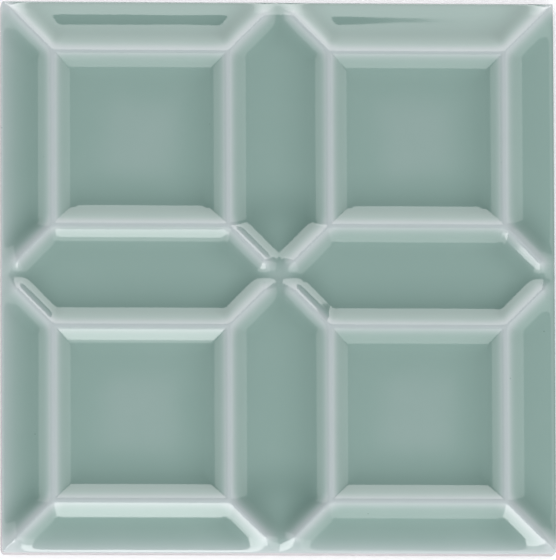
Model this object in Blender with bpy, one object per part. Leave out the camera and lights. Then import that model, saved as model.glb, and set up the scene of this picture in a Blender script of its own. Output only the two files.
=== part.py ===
"""A square relief wall tile, pressed and fired as one piece. It lies on its back with the glazed face up.

Metres, +Z up. The origin is the centre of the flat back, +X and +Y run along the tile's sides.
"""

import math

import bmesh
import bpy

# The tile's body
TILE_SIDE = 0.148  # a nominal 150 mm module less its joint
FLOOR_HEIGHT = 0.0084  # from the back to the floor of the recesses
CREST_HEIGHT = 0.0120  # from the back to the crest of the ridges
CORNER_RADIUS = 0.0010  # seen from above
EDGE_ROUND_WIDTH = 0.0042  # how far in from the edge the face starts to fall
EDGE_ROUND_DROP = 0.0014  # how far it has fallen where the side wall starts

# The raised pattern, the same in each cell of the tile
CELLS_PER_SIDE = 2
FRAME_INSET = 0.0136  # from a cell's border to the crest of its square ridge
RIDGE_WIDTH = 0.0108  # of a square ridge, from foot to foot
FLANK_ANGLE = math.radians(41)  # of its straight flanks
DIAGONAL_WIDTH = 0.0095  # of a diagonal ridge, which is as high and so a little steeper
DIAGONAL_FLANK_ANGLE = math.radians(44.5)
CREST_RADIUS = 0.0016  # of the rounding over every crest
CREST_FLAT = 0.0006  # width of the facet that stands for the very top of the crest
DIAGONAL_STOP = 0.0059  # from a cell's corner to the centre of a diagonal's round end
RELIEF_MARGIN = 0.0003  # the ridges end this far inside the side walls

# How finely curves are stepped
ARC_STEPS = 2
END_STEPS = 6
EDGE_STEPS = 4
CORNER_STEPS = 3

RIDGE_ROOT = 0.0030  # how deep a ridge's solid is sunk into the slab before they are joined
GLAZE_COLOUR = (0.31, 0.44, 0.40, 1.0)
GLAZE_ROUGHNESS = 0.12
SHARP_ANGLE = math.radians(30)


def clear_scene():
    """Remove every object, so that only the tile is left."""
    for thing in list(bpy.data.objects):
        bpy.data.objects.remove(thing, do_unlink=True)


def glaze():
    """The finish of the whole tile: a glossy grey-green glaze."""
    material = bpy.data.materials.new("sea_green_glaze")
    material.use_nodes = True
    shader = material.node_tree.nodes["Principled BSDF"]
    shader.inputs["Base Color"].default_value = GLAZE_COLOUR
    shader.inputs["Roughness"].default_value = GLAZE_ROUGHNESS
    shader.inputs["Metallic"].default_value = 0.0
    return material


def ridge_profile(width, flank_angle):
    """Half of a ridge's section, from foot to crest, as (distance from the middle, height above the floor).

    A straight flank lies between a hollow arc at the foot and a round one over the crest. The hollow arc's
    radius is the one that makes the section as wide and as high as the ridge.
    """
    half_width = width / 2
    height = CREST_HEIGHT - FLOOR_HEIGHT
    arc_run = math.sin(flank_angle)
    arc_rise = 1 - math.cos(flank_angle)
    spread = math.tan(math.pi / 2 - flank_angle)
    foot_radius = (half_width - height * spread) / (arc_run - arc_rise * spread) - CREST_RADIUS
    profile = []
    for step in range(ARC_STEPS + 1):
        angle = flank_angle * step / ARC_STEPS
        profile.append((half_width - foot_radius * math.sin(angle), foot_radius * (1 - math.cos(angle))))
    for step in range(ARC_STEPS):
        angle = flank_angle * (1 - step / ARC_STEPS)
        profile.append((CREST_RADIUS * math.sin(angle), height - CREST_RADIUS * (1 - math.cos(angle))))
    profile.append((CREST_FLAT / 2, height))
    return profile


def rounded_square(side, radius):
    """The outline of a square with round corners, anticlockwise."""
    inner = side / 2 - radius
    outline = []
    for corner in range(4):
        start = corner * math.pi / 2
        centre_x = inner * (1 if corner in (0, 3) else -1)
        centre_y = inner * (1 if corner in (0, 1) else -1)
        for step in range(CORNER_STEPS + 1):
            angle = start + math.pi / 2 * step / CORNER_STEPS
            outline.append((centre_x + radius * math.cos(angle), centre_y + radius * math.sin(angle)))
    return outline


def bar_outline(start, end, half_width):
    """The outline of a straight bar that is cut square at its start and round at its end, anticlockwise."""
    direction = math.atan2(end[1] - start[1], end[0] - start[0])
    side_x = half_width * math.cos(direction + math.pi / 2)
    side_y = half_width * math.sin(direction + math.pi / 2)
    outline = [(start[0] + side_x, start[1] + side_y), (start[0] - side_x, start[1] - side_y)]
    for step in range(END_STEPS + 1):
        angle = direction - math.pi / 2 + math.pi * step / END_STEPS
        outline.append((end[0] + half_width * math.cos(angle), end[1] + half_width * math.sin(angle)))
    return outline


def ring_of(bm, outline, height):
    """One closed ring of vertices at one height."""
    return [bm.verts.new((x, y, height)) for x, y in outline]


def wall_between(bm, lower, upper):
    """The band of faces between two rings, facing away from what they go round anticlockwise."""
    count = len(lower)
    for index in range(count):
        after = (index + 1) % count
        bm.faces.new((lower[index], lower[after], upper[after], upper[index]))


def object_from(bm, name):
    """A new object in the scene from a finished bmesh, with smooth curves and sharp edges."""
    mesh = bpy.data.meshes.new(name)
    bm.to_mesh(mesh)
    bm.free()
    mesh.shade_smooth()
    mesh.set_sharp_from_angle(angle=SHARP_ANGLE)
    made = bpy.data.objects.new(name, mesh)
    bpy.context.collection.objects.link(made)
    return made


def stacked_solid(name, levels):
    """A closed solid from outlines of the same number of points, given from the lowest to the highest."""
    bm = bmesh.new()
    rings = [ring_of(bm, outline, height) for outline, height in levels]
    for lower, upper in zip(rings, rings[1:]):
        wall_between(bm, lower, upper)
    bm.faces.new(list(reversed(rings[0])))
    bm.faces.new(rings[-1])
    return object_from(bm, name)


def cushioned_block(name, side, floor, top, round_width, round_drop):
    """A square block whose upper edge is a quarter of an ellipse."""
    levels = [(rounded_square(side, CORNER_RADIUS), floor)]
    for step in range(EDGE_STEPS + 1):
        angle = math.pi / 2 * step / EDGE_STEPS
        inset = round_width * (1 - math.cos(angle))
        height = top - round_drop * (1 - math.sin(angle))
        levels.append((rounded_square(side - 2 * inset, CORNER_RADIUS), height))
    return stacked_solid(name, levels)


def ridge_levels(width, flank_angle):
    """A ridge's profile as (half width, world height), with its root inside the slab."""
    profile = ridge_profile(width, flank_angle)
    levels = [(profile[0][0], FLOOR_HEIGHT - RIDGE_ROOT)]
    levels += [(half_width, FLOOR_HEIGHT + height) for half_width, height in profile]
    return levels


def square_ridge(name, centre, half_side):
    """The square ridge of one cell, mitred at its corners."""
    bm = bmesh.new()
    inner_rings = []
    outer_rings = []
    for half_width, height in ridge_levels(RIDGE_WIDTH, FLANK_ANGLE):
        for rings, reach in ((inner_rings, half_side - half_width), (outer_rings, half_side + half_width)):
            corners = ((reach, reach), (-reach, reach), (-reach, -reach), (reach, -reach))
            rings.append(ring_of(bm, [(centre[0] + x, centre[1] + y) for x, y in corners], height))
    for lower, upper in zip(outer_rings, outer_rings[1:]):
        wall_between(bm, lower, upper)
    for lower, upper in zip(inner_rings, inner_rings[1:]):
        wall_between(bm, upper, lower)
    wall_between(bm, outer_rings[-1], inner_rings[-1])
    wall_between(bm, inner_rings[0], outer_rings[0])
    return object_from(bm, name)


def diagonal_ridge(name, start, end):
    """A ridge from the corner of a square ridge out towards its cell's corner, where it ends round."""
    profile = ridge_levels(DIAGONAL_WIDTH, DIAGONAL_FLANK_ANGLE)
    levels = [(bar_outline(start, end, half_width), height) for half_width, height in profile]
    return stacked_solid(name, levels)


def cell_centres():
    """The centre of each cell, row by row."""
    cell_side = TILE_SIDE / CELLS_PER_SIDE
    places = [cell_side * (index + 0.5) - TILE_SIDE / 2 for index in range(CELLS_PER_SIDE)]
    return [(x, y) for y in places for x in places]


def pattern_ridges():
    """Every ridge of the tile: a square one in each cell, and one from each of its corners."""
    half_cell = TILE_SIDE / CELLS_PER_SIDE / 2
    half_square = half_cell - FRAME_INSET
    end_reach = half_cell - DIAGONAL_STOP / math.sqrt(2)
    ridges = []
    for cell, centre in enumerate(cell_centres()):
        ridges.append(square_ridge(f"square_ridge_{cell}", centre, half_square))
        for corner, (x, y) in enumerate(((1, 1), (-1, 1), (-1, -1), (1, -1))):
            start = (centre[0] + x * half_square, centre[1] + y * half_square)
            end = (centre[0] + x * end_reach, centre[1] + y * end_reach)
            ridges.append(diagonal_ridge(f"diagonal_ridge_{cell}_{corner}", start, end))
    return ridges


def keep_as_guide(thing):
    """Leave an object out of the result: it only shapes another one."""
    thing.hide_render = True
    thing.display_type = "WIRE"


def add_boolean(target, operation, other):
    """Join, cut or keep what is common to another object or a collection of them."""
    modifier = target.modifiers.new(operation.lower(), "BOOLEAN")
    modifier.operation = operation
    modifier.solver = "EXACT"
    if isinstance(other, bpy.types.Collection):
        modifier.operand_type = "COLLECTION"
        modifier.collection = other
    else:
        modifier.object = other


def make_tile():
    """The tile: a cushion-edged slab joined to its ridges, which fall off towards the tile's edges."""
    tile = cushioned_block("tile", TILE_SIDE, 0.0, FLOOR_HEIGHT, EDGE_ROUND_WIDTH, EDGE_ROUND_DROP)
    tile.data.materials.append(glaze())

    relief, *others = pattern_ridges()
    rest_of_pattern = bpy.data.collections.new("rest_of_pattern")
    bpy.context.scene.collection.children.link(rest_of_pattern)
    for ridge in others:
        bpy.context.collection.objects.unlink(ridge)
        rest_of_pattern.objects.link(ridge)
        keep_as_guide(ridge)

    side = TILE_SIDE - 2 * RELIEF_MARGIN
    top = CREST_HEIGHT + RELIEF_MARGIN
    wall_top = FLOOR_HEIGHT - EDGE_ROUND_DROP
    envelope = cushioned_block("relief_envelope", side, RIDGE_ROOT, top, EDGE_ROUND_WIDTH, top - wall_top)
    add_boolean(relief, "UNION", rest_of_pattern)
    add_boolean(relief, "INTERSECT", envelope)
    keep_as_guide(relief)
    keep_as_guide(envelope)
    add_boolean(tile, "UNION", relief)
    return tile


clear_scene()
make_tile()
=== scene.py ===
"""A square relief wall tile under a glossy grey-green glaze, seen from above in soft studio light.

The tile lies on its back. Its solid gives the place and the size, and the glazed surface here stands for it.
"""

import math

import bpy
import numpy as np
from mathutils import Matrix, Vector


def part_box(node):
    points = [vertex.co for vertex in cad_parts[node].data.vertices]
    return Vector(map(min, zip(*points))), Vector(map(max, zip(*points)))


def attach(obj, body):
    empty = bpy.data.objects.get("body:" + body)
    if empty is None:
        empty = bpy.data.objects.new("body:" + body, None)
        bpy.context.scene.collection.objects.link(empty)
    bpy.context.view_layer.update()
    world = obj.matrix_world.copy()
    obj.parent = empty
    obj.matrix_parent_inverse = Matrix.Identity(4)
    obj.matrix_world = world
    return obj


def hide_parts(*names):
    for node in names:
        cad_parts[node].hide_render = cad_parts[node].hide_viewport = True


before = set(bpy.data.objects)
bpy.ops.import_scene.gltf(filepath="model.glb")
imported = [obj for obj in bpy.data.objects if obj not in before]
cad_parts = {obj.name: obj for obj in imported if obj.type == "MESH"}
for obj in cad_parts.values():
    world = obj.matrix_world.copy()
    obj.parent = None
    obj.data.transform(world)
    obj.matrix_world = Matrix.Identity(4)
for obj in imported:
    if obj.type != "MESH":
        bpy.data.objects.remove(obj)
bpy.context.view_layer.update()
LOW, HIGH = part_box("tile")

bl_info = {
    "name": "Relief Tile",
    "version": (1, 0, 0),
    "blender": (4, 5, 0),
    "location": "3D View > Sidebar > Relief Tile",
    "description": "Makes a glazed relief wall tile and a small studio for it",
    "category": "Add Mesh",
}

PIECE = "glazed_tile"

# The tile's cells and levels, as its solid has them
CELL = (HIGH.x - LOW.x) / 2
HALF_CELL = CELL / 2
CREST_HEIGHT = HIGH.z
FLOOR_HEIGHT = 0.0084
WALL_HEIGHT = 0.0070
RELIEF = CREST_HEIGHT - FLOOR_HEIGHT
FRAME_INSET = 0.0136

# How far in from its edge the face starts to fall, and how far its crests stay under the solid's
EDGE_ROUND_WIDTH = 0.0038
CREST_GAP = 0.00002

# The face's mesh lines across a cell: fine ones from each border to past the square ridge, and coarse ones in
# the middle. At the tile's rim they crowd together, in place of the first fine ones.
FINE_SPACES_TO_CREST = 42
FINE_REACH = 0.0185
COARSE_SPACES = 20
RIM_SPACES_REPLACED = 3
RIM_SPACES = 6
RIM_CROWDING = 1.2

# The tile's corners: how fast they get sharper from ring to ring inwards, and a least radius, so that nothing
# is divided by 0
CORNER_FADE = 4
LEAST_RADIUS = 1e-9

# The walls' rows of faces, and how far the lower edge is turned in
WALL_ROWS = 8
BACK_LIP = 0.0005

# The width over which the pattern turns smoothly from one cell into the next
BORDER_WIDTH = 0.0009

# Where a diagonal meets a square ridge: how wide they blend, and how wide one's softness becomes the other's
JOINT_BLEND = 0.0008
JOINT_WIDTH = 0.0024

# A diagonal is this much narrower than a square ridge, and its round end falls off this much more slowly
DIAGONAL_NARROWING = 1.12
NOSE_BLUNTNESS = 0.8

# A diagonal's crest and foot are this many times as soft as a square ridge's
DIAGONAL_CREST_SOFTNESS = 0.5
DIAGONAL_FOOT_SOFTNESS = 1.2

# From the tile's corner to the end of the diagonal that runs out there, along each side
CORNER_STOP = 0.0012

# The waves in the glaze: their lengths, the first one's heading, how each turns and shifts against the one
# before, and how many wave heights the whole face is sunk by
WAVE_LENGTHS = (0.041, 0.034, 0.027, 0.021, 0.017)
WAVE_HEADING = 0.7
WAVE_TURN = 2.4
WAVE_SHIFT = 1.9
WAVE_SINK = 2

# The sag of the far edge: its depth, where it starts, how far it takes to set in, and how it bends down
SAG_DEPTH = 0.00026
SAG_START_X = -0.005
SAG_START_Y = 0.066
SAG_LENGTH = 0.050
SAG_WIDTH = 0.008
SAG_BEND = 1.3

# Painted soft shadow of the ridges: the steps that look for a ridge ahead of a point, how fast they lose
# weight, and how much each way counts
SHADE_STEPS = 6
SHADE_STEP = 0.002
SHADE_REACH = 0.005
SHADE_FROM_RIGHT = 0.6
SHADE_FROM_FRONT = 1.0

# The thin lines of painted shade along the far and the right rims
RIM_SHADE_WIDTH = 0.0006
FAR_RIM_SHADE = 0.9
RIGHT_RIM_SHADE = 0.6

# The painted shade near the front end of the two pools in the tile's middle: how strong, how far from that
# end, how long and how wide
POOL_END_SHADE = 0.38
POOL_END_PLACE = 0.0180
POOL_END_LENGTH = 0.0055
POOL_END_WIDTH = 0.009

# How far the thin glaze on the crests lies off them, towards +Y, and how far it reaches
GLAZE_RUN = 0.0001
CREST_REACH = 0.0015
DIAGONAL_REACH = 0.0021

# How much thinner the glaze is, and how far that reaches, at the tile's middle, in the middle of each square
# pool, and along the left and the front edges
CROSSING_THINNING = 0.3
CROSSING_REACH = 0.003
MIDDLE_THINNING = 0.15
MIDDLE_REACH = 0.0105
LEFT_THINNING = 0.75
LEFT_REACH = 0.0026
FRONT_THINNING = 1.0
FRONT_REACH = 0.0022

# The finish of the glaze
GLAZE_IOR = 1.6
MOTTLE_SCALE = 90.0
MOTTLE_DETAIL = 3.0
MOTTLE_STRENGTH = 0.12
PINHOLE_SCALE = 110.0
PINHOLE_RADIUS = 0.024
PINHOLE_SHARPNESS = 80.0

# The finish of the bare body
BODY_ROUGHNESS = 0.85
GRAIN_SCALE = 2500.0
GRAIN_DETAIL = 4.0
GRAIN_COLOUR = (0.45, 0.40, 0.40)
GRAIN_CONTRAST = 0.3
GRAIN_LEVEL = 0.85
GRAIN_BUMP = 0.5
GRAIN_HEIGHT = 0.0002

# Where the glaze ends on the walls: how far under the rim, how far that wanders, and how soft the line is
GLAZE_END_DROP = 0.0006
GLAZE_END_WANDER = 0.0012
GLAZE_END_BLUR = 0.0002

# The panels that the glaze reflects, and the one that lights the body: the middle, the way it faces, and the
# width and height of each. The glaze's are named as the settings that hold their radiance.
GLAZE_PANELS = {
    "back_wall": ((0.0, 0.088, 0.051), (0, -1, 0), (0.20, 0.102)),
    "front_wall": ((0.0, -1.0, 0.41), (0, 1, 0), (2.0, 0.82)),
    "left_wall": ((-1.0, 0.0, 0.25), (1, 0, 0), (2.0, 0.50)),
    "right_wall": ((1.0, -0.35, 0.47), (-1, 0, 0), (1.3, 0.94)),
    "front_card": ((-0.0725, -0.195, 0.0535), (0, 1, 0), (0.165, 0.107)),
    "corner_wall": ((0.85, 0.85, 0.40), (-1, -1, 0), (0.90, 0.80)),
}
BODY_PANEL = ((0.0, -0.50, 0.45), (0, 1, 0), (0.8, 0.5))

# The rest of the studio: the floor's half side, drop under the tile and roughness, the colour of the room's
# light, and how many times nearer and farther than the tile the camera still sees
FLOOR_REACH = 3.0
FLOOR_DROP = 0.0001
FLOOR_ROUGHNESS = 0.7
ROOM_COLOUR = (0.97, 0.98, 1.0)
CLIP_RANGE = 10

# A colour Mix node's sockets go by number, because each of their names is there once for every type of data
MIX_FACTOR = 0
MIX_LOW = 6
MIX_HIGH = 7
MIX_RESULT = 2


class TileSettings(bpy.types.PropertyGroup):
    """The sizes and colours of the tile that a user would change."""

    frame_inset: bpy.props.FloatProperty(
        name="Frame inset",
        description="From a cell's border to the crest of its square ridge",
        default=FRAME_INSET,
        unit="LENGTH",
    )
    flank_slope: bpy.props.FloatProperty(
        name="Flank angle",
        description="How steep the ridges' sides are",
        default=math.radians(40.5),
        subtype="ANGLE",
    )
    crest_softness: bpy.props.FloatProperty(
        name="Crest softness",
        description="How far the rounding lowers the sharp crest that the flanks would meet in",
        default=0.0006,
        unit="LENGTH",
    )
    foot_softness: bpy.props.FloatProperty(
        name="Foot softness",
        description="How high up the foot of a ridge the glaze has run together",
        default=0.00068,
        unit="LENGTH",
    )
    diagonal_stop: bpy.props.FloatProperty(
        name="Diagonal stop",
        description="From a cell's border to the centre of a diagonal's round end",
        default=0.0041,
        unit="LENGTH",
    )
    corner_radius: bpy.props.FloatProperty(
        name="Corner radius",
        description="Radius of the tile's corners, seen from above",
        default=0.0010,
        unit="LENGTH",
    )
    wave_height: bpy.props.FloatProperty(
        name="Wave height",
        description="How far the glaze's surface wanders from an even one",
        default=0.00002,
        unit="LENGTH",
    )
    pool_colour: bpy.props.FloatVectorProperty(
        name="Pool colour",
        description="The glaze where it lies deep",
        default=(0.225, 0.330, 0.297),
        subtype="COLOR",
        min=0.0,
        max=1.0,
    )
    # This colour is the painted shade of the glaze next to the ridges and along the far and right rims, and
    # the dark of its pinholes
    shade_and_pinhole_colour: bpy.props.FloatVectorProperty(
        name="Deep colour",
        description="The glaze where it has run together against a ridge",
        default=(0.125, 0.205, 0.180),
        subtype="COLOR",
        min=0.0,
        max=1.0,
    )
    crest_colour: bpy.props.FloatVectorProperty(
        name="Crest colour",
        description="The glaze where it is thin and the body shows through",
        default=(0.418, 0.470, 0.473),
        subtype="COLOR",
        min=0.0,
        max=1.0,
    )
    body_colour: bpy.props.FloatVectorProperty(
        name="Body colour",
        description="The bare fired clay of the walls and the back",
        default=(0.46, 0.43, 0.445),
        subtype="COLOR",
        min=0.0,
        max=1.0,
    )
    glaze_roughness: bpy.props.FloatProperty(
        name="Glaze roughness",
        description="Roughness of the glazed face",
        default=0.05,
        min=0.0,
        max=1.0,
        subtype="FACTOR",
    )


class StudioSettings(bpy.types.PropertyGroup):
    """The camera, the lights and the floor."""

    lean_x: bpy.props.FloatProperty(
        name="Lean to the left",
        description="How far the camera stands off straight down towards -X",
        default=math.radians(3.7),
        subtype="ANGLE",
    )
    lean_y: bpy.props.FloatProperty(
        name="Lean to the front",
        description="How far the camera stands off straight down towards -Y",
        default=math.radians(6.9),
        subtype="ANGLE",
    )
    distance: bpy.props.FloatProperty(
        name="Distance",
        description="From the camera to the tile",
        default=4.3,
        unit="LENGTH",
    )
    picture_height: bpy.props.FloatProperty(
        name="Picture height",
        description="How much of the tile's plane the picture shows from bottom to top",
        default=0.1495,
        unit="LENGTH",
    )
    aim_x: bpy.props.FloatProperty(
        name="Aim across",
        description="What is at the picture's middle, from the tile's centre towards +X",
        default=-0.0001,
        unit="LENGTH",
    )
    aim_y: bpy.props.FloatProperty(
        name="Aim up",
        description="What is at the picture's middle, from the tile's centre towards +Y",
        default=-0.0007,
        unit="LENGTH",
    )
    back_wall: bpy.props.FloatProperty(
        name="Back wall",
        description="Radiance of the soft panel behind the tile",
        default=3.1,
        min=0.0,
    )
    front_wall: bpy.props.FloatProperty(
        name="Front wall",
        description="Radiance of the wide panel in front",
        default=1.8,
        min=0.0,
    )
    left_wall: bpy.props.FloatProperty(
        name="Left wall",
        description="Radiance of the panel on the left",
        default=1.0,
        min=0.0,
    )
    right_wall: bpy.props.FloatProperty(
        name="Right wall",
        description="Radiance of the panel on the right",
        default=1.1,
        min=0.0,
    )
    front_card: bpy.props.FloatProperty(
        name="Front card",
        description="Radiance that the low panel in front adds",
        default=3.5,
        min=0.0,
    )
    corner_wall: bpy.props.FloatProperty(
        name="Corner wall",
        description="Radiance of the panel behind on the right",
        default=0.2,
        min=0.0,
    )
    key_light: bpy.props.FloatProperty(
        name="Key light",
        description="Radiance of the panel that lights the body from the front",
        default=1.6,
        min=0.0,
    )
    room_light: bpy.props.FloatProperty(
        name="Room light",
        description="Radiance of the room where it lights the body",
        default=1.0,
        min=0.0,
    )
    room_gloss: bpy.props.FloatProperty(
        name="Room gloss",
        description="Radiance of the room where the glaze reflects it",
        default=0.3,
        min=0.0,
    )
    floor_colour: bpy.props.FloatVectorProperty(
        name="Floor colour",
        description="The pale floor",
        default=(0.97, 0.97, 0.97),
        subtype="COLOR",
        min=0.0,
        max=1.0,
    )


class Socket:
    """An output of a node. Arithmetic on it adds Math nodes to its tree."""

    def __init__(self, tree, output):
        self.tree = tree
        self.output = output

    @staticmethod
    def node(tree, kind, settings=None, inputs=None, output=0):
        """Add a node: its settings first, then its inputs' values or links. Gives one of its outputs."""
        made = tree.nodes.new(kind)
        for name, value in (settings or {}).items():
            setattr(made, name, value)
        for name, value in (inputs or {}).items():
            if isinstance(value, Socket):
                tree.links.new(value.output, made.inputs[name])
            else:
                made.inputs[name].default_value = value
        return Socket(tree, made.outputs[output]) if made.outputs else None

    def math(self, operation, *operands, clamp=False):
        """One Math node on these operands."""
        settings = {"operation": operation, "use_clamp": clamp}
        return Socket.node(self.tree, "ShaderNodeMath", settings, dict(enumerate(operands)))

    def __add__(self, other):
        return self.math("ADD", self, other)

    def __radd__(self, other):
        return self.math("ADD", other, self)

    def __sub__(self, other):
        return self.math("SUBTRACT", self, other)

    def __rsub__(self, other):
        return self.math("SUBTRACT", other, self)

    def __mul__(self, other):
        return self.math("MULTIPLY", self, other)

    def __rmul__(self, other):
        return self.math("MULTIPLY", other, self)

    def __truediv__(self, other):
        return self.math("DIVIDE", self, other)

    def __rtruediv__(self, other):
        return self.math("DIVIDE", other, self)

    def clamped(self):
        """Kept from 0 to 1."""
        return self.math("ADD", self, 0.0, clamp=True)

    def mixed(self, low, high):
        """The colour low where this is 0, and high where it is 1."""
        inputs = {MIX_FACTOR: self, MIX_LOW: low, MIX_HIGH: high}
        return Socket.node(self.tree, "ShaderNodeMix", {"data_type": "RGBA"}, inputs, output=MIX_RESULT)


def opaque(colour):
    """A colour with its alpha."""
    return (*colour, 1.0)


def fresh_tree(owner):
    """The emptied node tree of a material or a world."""
    owner.use_nodes = True
    owner.node_tree.nodes.clear()
    return owner.node_tree


def axis_lines():
    """Places of the mesh's lines along one side, from rim to rim.

    In each cell they are evenly fine from the borders to past the square ridge, and evenly coarse between.
    At the rim, where the face falls fastest, they are at (1 - cos(angle))^crowding of the way in, at even
    angles.
    """
    fine = np.arange(0.0, FINE_REACH, FRAME_INSET / FINE_SPACES_TO_CREST)
    coarse = np.linspace(fine[-1], CELL - fine[-1], COARSE_SPACES + 1)[1:-1]
    inner = np.concatenate([fine, coarse, CELL - fine[::-1]])
    angles = np.linspace(0.0, np.pi / 2, RIM_SPACES + 1)[1:-1]
    rim = fine[RIM_SPACES_REPLACED] * (1 - np.cos(angles)) ** RIM_CROWDING
    half = np.concatenate([[0.0], rim, inner[RIM_SPACES_REPLACED:]])
    return np.concatenate([half - CELL, -(half[::-1] - CELL)[1:]])


def rounded_corners(x, y, radius):
    """Points of a square grid moved so that its square rings get round corners, the outermost of this radius.

    On the ring at distance m from the centre, a point past m - r along its side goes to the arc of radius
    r about (m - r, m - r), at 45 degrees times its share of the way to the corner. r grows with m^fade.
    """
    ring = np.maximum(np.abs(x), np.abs(y))
    arc = radius * (ring / CELL) ** CORNER_FADE + LEAST_RADIUS
    start = ring - arc
    along = np.minimum(np.abs(x), np.abs(y))
    share = np.clip((along - start) / arc, 0.0, 1.0)
    angle = share * np.pi / 4
    far = start + arc * np.cos(angle)
    near = np.where(share > 0, start + arc * np.sin(angle), along)
    wide = np.abs(x) >= np.abs(y)
    return np.sign(x) * np.where(wide, far, near), np.sign(y) * np.where(wide, near, far)


def soft_step(value, softness):
    """softness * log(1 + exp(value / softness)): the value where it is high, run out smoothly to 0 below."""
    return softness * np.logaddexp(0.0, value / softness)


def hill(distance, reach, power=2):
    """exp(-(|distance| / reach)^power): 1 at no distance, and next to nothing a few reaches away."""
    return np.exp(-((np.abs(distance) / reach) ** power))


def ridge_distances(x, y, settings):
    """Distances from a point to the middle lines of its cell's square ridge and of its nearest diagonal.

    The point is sqrt(x^2 + w^2) and sqrt(y^2 + w^2) from the borders between the cells, so that the pattern
    is smooth across them. a and b are the larger and the smaller of its distances from its cell's middle
    lines. The square ridge is |a - half| away, which mitres its corners, and the diagonal one is as far as
    the nearest point of its line from corner to round end. The four at the tile's own corners run out almost
    to them.
    """
    half_square = HALF_CELL - settings.frame_inset
    at_tile_corner = np.minimum(np.abs(x), np.abs(y)) > HALF_CELL
    end = np.where(at_tile_corner, HALF_CELL - CORNER_STOP, HALF_CELL - settings.diagonal_stop)
    u = np.abs(np.hypot(x, BORDER_WIDTH) - HALF_CELL)
    v = np.abs(np.hypot(y, BORDER_WIDTH) - HALF_CELL)
    a = np.maximum(u, v)
    b = np.minimum(u, v)
    square = np.abs(a - half_square)
    across = (a - b) / math.sqrt(2)
    past_end = np.maximum((a + b) / 2 - end, 0.0) * math.sqrt(2)
    before_start = np.minimum((a + b) / 2 - half_square, 0.0) * math.sqrt(2)
    diagonal = np.hypot(np.hypot(across, past_end * NOSE_BLUNTNESS), before_start) * DIAGONAL_NARROWING
    return square, diagonal


def ridge_height(x, y, settings):
    """Height of the relief above its floor.

    d is the distance to the nearest ridge's middle line, or a little less where two ridges are near, so that
    they blend. The height is a hyperbola over the crest, top + c - sqrt(c^2 + (slope * d)^2), run out softly
    at the foot. c and the foot's softness go over from a square ridge's to a diagonal's as 3 t^2 - 2 t^3.
    """
    square, diagonal = ridge_distances(x, y, settings)
    closeness = np.clip(1 - np.abs(square - diagonal) / JOINT_BLEND, 0.0, 1.0)
    distance = np.clip(np.minimum(square, diagonal) - JOINT_BLEND / 4 * closeness**2, 0.0, None)
    share = np.clip(0.5 + (square - diagonal) / JOINT_WIDTH, 0.0, 1.0)
    share = share * share * (3 - 2 * share)
    crest = settings.crest_softness * (1 + share * (DIAGONAL_CREST_SOFTNESS - 1))
    foot = settings.foot_softness * (1 + share * (DIAGONAL_FOOT_SOFTNESS - 1))
    slope = math.tan(settings.flank_slope)
    top = RELIEF - CREST_GAP
    return np.minimum(soft_step(top + crest - np.hypot(crest, slope * distance), foot), top)


def edge_share(x, y):
    """sqrt(1 - ((w - s) / w)^2) for a point s from the tile's edge: 0 there, and 1 from s = w inwards."""
    inset = np.minimum(CELL - np.abs(x), CELL - np.abs(y))
    missing = np.clip((EDGE_ROUND_WIDTH - inset) / EDGE_ROUND_WIDTH, 0.0, 1.0)
    return np.sqrt(1 - missing**2)


def waves(x, y, height):
    """The slow wander of a melted glaze: a sum of sines in set directions, the longer ones the higher."""
    total = np.zeros_like(x)
    for number, length in enumerate(WAVE_LENGTHS):
        heading = WAVE_TURN * number + WAVE_HEADING
        run = x * math.cos(heading) + y * math.sin(heading)
        total += np.sin(2 * np.pi * run / length + WAVE_SHIFT * number) * length / WAVE_LENGTHS[0]
    return height * total


def sagged_edge(x, y):
    """How far the far edge has sagged: depth * along * out^bend, with along and out ramps from 0 to 1."""
    along = np.clip((x - SAG_START_X) / SAG_LENGTH, 0.0, 1.0)
    out = np.clip((y - SAG_START_Y) / SAG_WIDTH, 0.0, 1.0)
    return SAG_DEPTH * along * out**SAG_BEND


def face_surface(settings):
    """The glazed face on its grid: x, y and z.

    z is the floor, which falls to the wall along a quarter of an ellipse, plus the ridges' height, which
    falls the same way from the crest's level, plus the waves, less the sag.
    """
    lines = axis_lines()
    x, y = rounded_corners(*np.meshgrid(lines, lines), settings.corner_radius)
    share = edge_share(x, y)
    floor = WALL_HEIGHT + (FLOOR_HEIGHT - WALL_HEIGHT) * share
    ceiling = WALL_HEIGHT + (CREST_HEIGHT - WALL_HEIGHT) * share
    relief = ridge_height(x, y, settings) / RELIEF
    ripple = waves(x, y, settings.wave_height) - settings.wave_height * WAVE_SINK
    z = floor + relief * (ceiling - floor) + share * ripple - sagged_edge(x, y)
    return x, y, z


def painted_shade(x, y, settings):
    """How much painted shade darkens each point, from 0 to 1.

    At even steps away from the point towards +X, and the same towards -Y, it takes how far the relief rises
    above the point's own, each weighed less the farther it is: a painted soft shadow of the ridges, as if
    light came from +X and -Y. Hills of painted shade add to that along the far and the right rims, and near
    the front ends of the two long pools in the tile's middle.
    """
    steps = np.arange(1, SHADE_STEPS + 1) * SHADE_STEP
    weights = np.exp(-steps / SHADE_REACH)
    weights /= weights.sum()
    own = ridge_height(x, y, settings)
    total = np.zeros_like(x)
    # Painted soft shadow from the ridges that rise towards +X and towards -Y
    for step, weight in zip(steps, weights):
        for towards_x, towards_y, part in ((step, 0.0, SHADE_FROM_RIGHT), (0.0, -step, SHADE_FROM_FRONT)):
            ahead = ridge_height(x + towards_x, y + towards_y, settings)
            total += weight * part * np.maximum(ahead - own, 0.0) / RELIEF
    # Painted shade along the far and the right rims, and near the front ends of the two middle pools
    total += FAR_RIM_SHADE * hill(CELL - y, RIM_SHADE_WIDTH) + RIGHT_RIM_SHADE * hill(CELL - x, RIM_SHADE_WIDTH)
    above_end = np.mod(y, CELL) - POOL_END_PLACE
    total += POOL_END_SHADE * hill(above_end, POOL_END_LENGTH) * hill(x, POOL_END_WIDTH, power=4)
    return np.clip(total, 0.0, 1.0)


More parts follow.
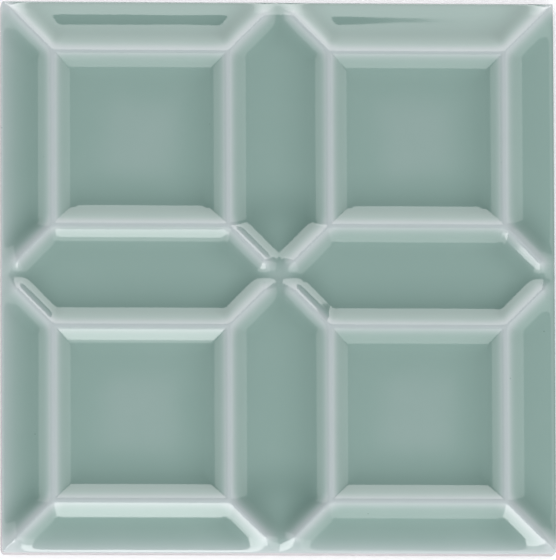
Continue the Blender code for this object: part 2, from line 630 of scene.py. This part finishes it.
def glaze_depth(x, y, settings):
    """Share of deep glaze at each point, from 0 where it is thin to 1 where it is deep.

    Beside a crest it is 1 - exp(-(distance / reach)^2), with a longer reach beside the diagonals. Hills are
    taken off it at the tile's middle and in the middle of each square pool, and it falls towards the left and
    the front edges as 1 - exp(-inset / reach).
    """
    square, diagonal = ridge_distances(x, y - GLAZE_RUN, settings)
    deep = (1 - hill(square, CREST_REACH)) * (1 - hill(diagonal, DIAGONAL_REACH))
    deep -= CROSSING_THINNING * hill(np.hypot(x, y), CROSSING_REACH)
    across = hill(np.abs(x) - HALF_CELL, MIDDLE_REACH, power=4)
    along = hill(np.abs(y) - HALF_CELL, MIDDLE_REACH, power=4)
    deep -= MIDDLE_THINNING * across * along
    left = LEFT_THINNING * hill(CELL + x, LEFT_REACH, power=1)
    front = FRONT_THINNING * hill(CELL + y, FRONT_REACH, power=1)
    return np.clip(deep * (1 - np.clip(left + front, 0.0, 1.0)), 0.0, 1.0)


def walls_and_back(x, y, rim_z):
    """Rings of points at even heights from under the rim down to the back, the last turned in a little."""
    drops = np.linspace(0.0, 1.0, WALL_ROWS + 1)[1:]
    rings = [np.stack([x, y, rim_z * (1 - drop)], axis=1) for drop in drops]
    rings[-1][:, :2] *= 1 - BACK_LIP / CELL
    return rings


def rim_indices(count):
    """Indices of the grid's border, anticlockwise seen from above, from the corner at -X and -Y."""
    grid = np.arange(count * count).reshape(count, count)
    return np.concatenate([grid[0, :-1], grid[:-1, -1], grid[-1, :0:-1], grid[:0:-1, 0]])


def grid_triangles(count):
    """Two triangles for each square of the grid, split along the line that runs out of its cell's middle."""
    grid = np.arange(count * count).reshape(count, count)
    low_left, low_right = grid[:-1, :-1], grid[:-1, 1:]
    top_left, top_right = grid[1:, :-1], grid[1:, 1:]
    places = np.arange(count - 1)
    spaces_in_half_cell = (count - 1) / 4
    upper = (places // spaces_in_half_cell).astype(int) % 2
    rising = (upper[:, None] == upper[None, :])[..., None]
    first = np.where(
        rising,
        np.stack([low_left, low_right, top_right], -1),
        np.stack([low_left, low_right, top_left], -1),
    )
    second = np.where(
        rising,
        np.stack([low_left, top_right, top_left], -1),
        np.stack([low_right, top_right, top_left], -1),
    )
    return np.concatenate([first.reshape(-1, 3), second.reshape(-1, 3)])


def tile_mesh(settings):
    """The whole closed surface, the face, the four walls and the flat back, with the glaze's depth and its
    painted shade on it.
    """
    x, y, z = face_surface(settings)
    count = len(x)
    face = np.stack([x.ravel(), y.ravel(), z.ravel()], axis=1)
    rim = rim_indices(count)
    rings = walls_and_back(face[rim, 0], face[rim, 1], face[rim, 2])
    points = np.concatenate([face, *rings, [[0.0, 0.0, 0.0]]])
    polygons = [grid_triangles(count)]
    upper = rim
    start = len(face)
    for ring in rings:
        lower = np.arange(start, start + len(ring))
        quads = np.stack([upper, lower, np.roll(lower, -1), np.roll(upper, -1)], axis=1)
        polygons.append(quads[:, [0, 1, 2]])
        polygons.append(quads[:, [0, 2, 3]])
        upper = lower
        start += len(ring)
    centre = np.full(len(upper), len(points) - 1)
    polygons.append(np.stack([np.roll(upper, -1), upper, centre], axis=1))
    mesh = bpy.data.meshes.new(PIECE)
    mesh.from_pydata(points.tolist(), [], np.concatenate(polygons).tolist())
    mesh.shade_smooth()
    # Each point's glaze depth and its painted shade, for the material
    for state in (glaze_depth, painted_shade):
        shares = np.zeros(len(points), np.float32)
        shares[: len(face)] = state(x, y, settings).ravel()
        mesh.attributes.new(state.__name__, "FLOAT", "POINT").data.foreach_set("value", shares)
    return mesh


def glaze_material(settings):
    """The glaze, and the bare body where it ends just under the rim."""
    material = bpy.data.materials.new("sea_green_glaze")
    tree = fresh_tree(material)
    place = Socket.node(tree, "ShaderNodeTexCoord", output="Object")
    height = Socket.node(tree, "ShaderNodeSeparateXYZ", inputs={"Vector": place}, output="Z")
    depth = Socket.node(tree, "ShaderNodeAttribute", {"attribute_name": "glaze_depth"}, output="Fac")
    # The painted shade of the ridges and rims
    shade_share = Socket.node(tree, "ShaderNodeAttribute", {"attribute_name": "painted_shade"}, output="Fac")
    noise = {"Vector": place, "Scale": MOTTLE_SCALE, "Detail": MOTTLE_DETAIL}
    mottle = Socket.node(tree, "ShaderNodeTexNoise", inputs=noise) - 0.5

    # Glaze runs off the crests into the pools; painted shade darkens it next to the ridges, along the far and
    # right rims and at the two middle pools' front ends
    blotched = (depth + mottle * MOTTLE_STRENGTH).clamped()
    pooled = blotched.mixed(opaque(settings.crest_colour), opaque(settings.pool_colour))
    shaded = (shade_share * depth).clamped().mixed(pooled, opaque(settings.shade_and_pinhole_colour))

    # A few pinholes
    cells = Socket.node(tree, "ShaderNodeTexVoronoi", inputs={"Vector": place, "Scale": PINHOLE_SCALE})
    pinhole = ((PINHOLE_RADIUS - cells) * PINHOLE_SHARPNESS).clamped()
    glaze = pinhole.mixed(shaded, opaque(settings.shade_and_pinhole_colour))

    # The body's fine grain
    noise = {"Vector": place, "Scale": GRAIN_SCALE, "Detail": GRAIN_DETAIL}
    grain = Socket.node(tree, "ShaderNodeTexNoise", inputs=noise)
    speckle = (grain * GRAIN_CONTRAST + GRAIN_LEVEL).clamped()
    clay = speckle.mixed(opaque(GRAIN_COLOUR), opaque(settings.body_colour))

    # The line where the glaze ends
    line = WALL_HEIGHT - GLAZE_END_DROP + mottle * GLAZE_END_WANDER
    glazed = ((height - line) / GLAZE_END_BLUR + 0.5).clamped()
    relief = {"Strength": GRAIN_BUMP, "Distance": GRAIN_HEIGHT, "Height": grain * (1 - glazed)}
    inputs = {
        "Base Color": glazed.mixed(clay, glaze),
        "Roughness": BODY_ROUGHNESS - glazed * (BODY_ROUGHNESS - settings.glaze_roughness),
        "Normal": Socket.node(tree, "ShaderNodeBump", inputs=relief),
        "IOR": GLAZE_IOR,
    }
    shader = Socket.node(tree, "ShaderNodeBsdfPrincipled", inputs=inputs)
    Socket.node(tree, "ShaderNodeOutputMaterial", inputs={"Surface": shader})
    return material


class RELIEF_OT_glazed_tile(bpy.types.Operator):
    """Make the glazed tile over its solid"""

    bl_idname = "relief_tile.glazed_tile"
    bl_label = "Make Glazed Tile"

    def execute(self, context):
        settings = context.scene.relief_tile
        mesh = tile_mesh(settings)
        mesh.materials.append(glaze_material(settings))
        tile = bpy.data.objects.new(PIECE, mesh)
        context.scene.collection.objects.link(tile)
        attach(tile, "root")
        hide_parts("tile")
        return {"FINISHED"}


def plain_material(name, colour, roughness):
    """A matt material of one colour."""
    material = bpy.data.materials.new(name)
    tree = fresh_tree(material)
    inputs = {"Base Color": opaque(colour), "Roughness": roughness}
    shader = Socket.node(tree, "ShaderNodeBsdfPrincipled", inputs=inputs)
    Socket.node(tree, "ShaderNodeOutputMaterial", inputs={"Surface": shader})
    return material


def soft_panel(name, centre, facing, size, radiance, lights_body):
    """An upright rectangular light, width by height, of even radiance, which faces along a level direction.

    It either lights the tile's body or shows as a reflection in its glaze, never both, so that the shading
    and the reflections can be set apart.
    """
    data = bpy.data.lights.new(name, "AREA")
    data.shape = "RECTANGLE"
    data.size, data.size_y = size
    data.energy = radiance * math.pi * size[0] * size[1]
    light = bpy.data.objects.new(name, data)
    light.location = centre
    light.rotation_euler = Vector(facing).to_track_quat("-Z", "Y").to_euler()
    light.visible_camera = False
    light.visible_diffuse = lights_body
    light.visible_glossy = not lights_body
    bpy.context.scene.collection.objects.link(light)


def make_lights(settings):
    """A tent of soft panels round the tile, for its reflections, and one to light its body."""
    for name, (centre, facing, size) in GLAZE_PANELS.items():
        soft_panel(name, centre, facing, size, getattr(settings, name), False)
    soft_panel("key", *BODY_PANEL, settings.key_light, True)


def make_floor(settings):
    """The pale floor that the tile lies on, a very little below it, so that the two never share a plane."""
    corners = ((-1, -1), (1, -1), (1, 1), (-1, 1))
    points = [(FLOOR_REACH * x, FLOOR_REACH * y, -FLOOR_DROP) for x, y in corners]
    mesh = bpy.data.meshes.new("floor")
    mesh.from_pydata(points, [], [(0, 1, 2, 3)])
    mesh.materials.append(plain_material("pale_floor", settings.floor_colour, FLOOR_ROUGHNESS))
    floor = bpy.data.objects.new("floor", mesh)
    bpy.context.scene.collection.objects.link(floor)


def make_room(settings):
    """The room's soft light, which is dimmer where the glaze reflects it than where it lights the body."""
    world = bpy.data.worlds.new("room")
    tree = fresh_tree(world)
    in_gloss = Socket.node(tree, "ShaderNodeLightPath", output="Is Glossy Ray")
    strength = settings.room_light - in_gloss * (settings.room_light - settings.room_gloss)
    inputs = {"Color": opaque(ROOM_COLOUR), "Strength": strength}
    background = Socket.node(tree, "ShaderNodeBackground", inputs=inputs)
    Socket.node(tree, "ShaderNodeOutputWorld", inputs={"Surface": background})
    bpy.context.scene.world = world


def make_camera(settings):
    """A camera with a long lens that looks down on the tile, a little from the left and from the front.

    A square seen from off two of its sides shows as a slightly slanted one, so the camera is rolled by half
    the slant, which shares it between the upright and the level sides.
    """
    back = Vector((-math.tan(settings.lean_x), -math.tan(settings.lean_y), 1.0))
    roll = back.x * back.y / 2
    back.normalize()
    level = Vector((back.z, 0.0, -back.x)).normalized()
    right = (level - roll * back.cross(level)).normalized()
    up = back.cross(right)
    data = bpy.data.cameras.new("camera")
    data.lens = data.sensor_width * settings.distance / settings.picture_height
    data.clip_start = settings.distance / CLIP_RANGE
    data.clip_end = settings.distance * CLIP_RANGE
    camera = bpy.data.objects.new("camera", data)
    aim = Vector((settings.aim_x, settings.aim_y, WALL_HEIGHT))
    turn = Matrix((right, up, back)).transposed().to_4x4()
    camera.matrix_world = Matrix.Translation(aim + back * settings.distance) @ turn
    bpy.context.scene.collection.objects.link(camera)
    bpy.context.scene.camera = camera


class RELIEF_OT_studio(bpy.types.Operator):
    """Make the floor, the lights and the camera"""

    bl_idname = "relief_tile.studio"
    bl_label = "Make Studio"

    def execute(self, context):
        settings = context.scene.relief_studio
        make_floor(settings)
        make_room(settings)
        make_lights(settings)
        make_camera(settings)
        context.scene.view_settings.view_transform = "Standard"
        return {"FINISHED"}


class RELIEF_PT_panel(bpy.types.Panel):
    """The tile and its studio in the sidebar"""

    bl_idname = "RELIEF_PT_panel"
    bl_label = "Relief Tile"
    bl_space_type = "VIEW_3D"
    bl_region_type = "UI"
    bl_category = "Relief Tile"

    def draw(self, context):
        for settings, operator in (
            (context.scene.relief_tile, RELIEF_OT_glazed_tile),
            (context.scene.relief_studio, RELIEF_OT_studio),
        ):
            column = self.layout.column(align=True)
            for name in settings.__annotations__:
                column.prop(settings, name)
            self.layout.operator(operator.bl_idname)


CLASSES = (TileSettings, StudioSettings, RELIEF_OT_glazed_tile, RELIEF_OT_studio, RELIEF_PT_panel)


def register():
    """Add the classes, and the settings to the scene."""
    for made in CLASSES:
        bpy.utils.register_class(made)
    bpy.types.Scene.relief_tile = bpy.props.PointerProperty(type=TileSettings)
    bpy.types.Scene.relief_studio = bpy.props.PointerProperty(type=StudioSettings)


def unregister():
    """Take away what register added."""
    del bpy.types.Scene.relief_studio
    del bpy.types.Scene.relief_tile
    for made in reversed(CLASSES):
        bpy.utils.unregister_class(made)


def main():
    """Make the tile, then its studio."""
    register()
    bpy.ops.relief_tile.glazed_tile()
    bpy.ops.relief_tile.studio()


if __name__ == "__main__":
    main()
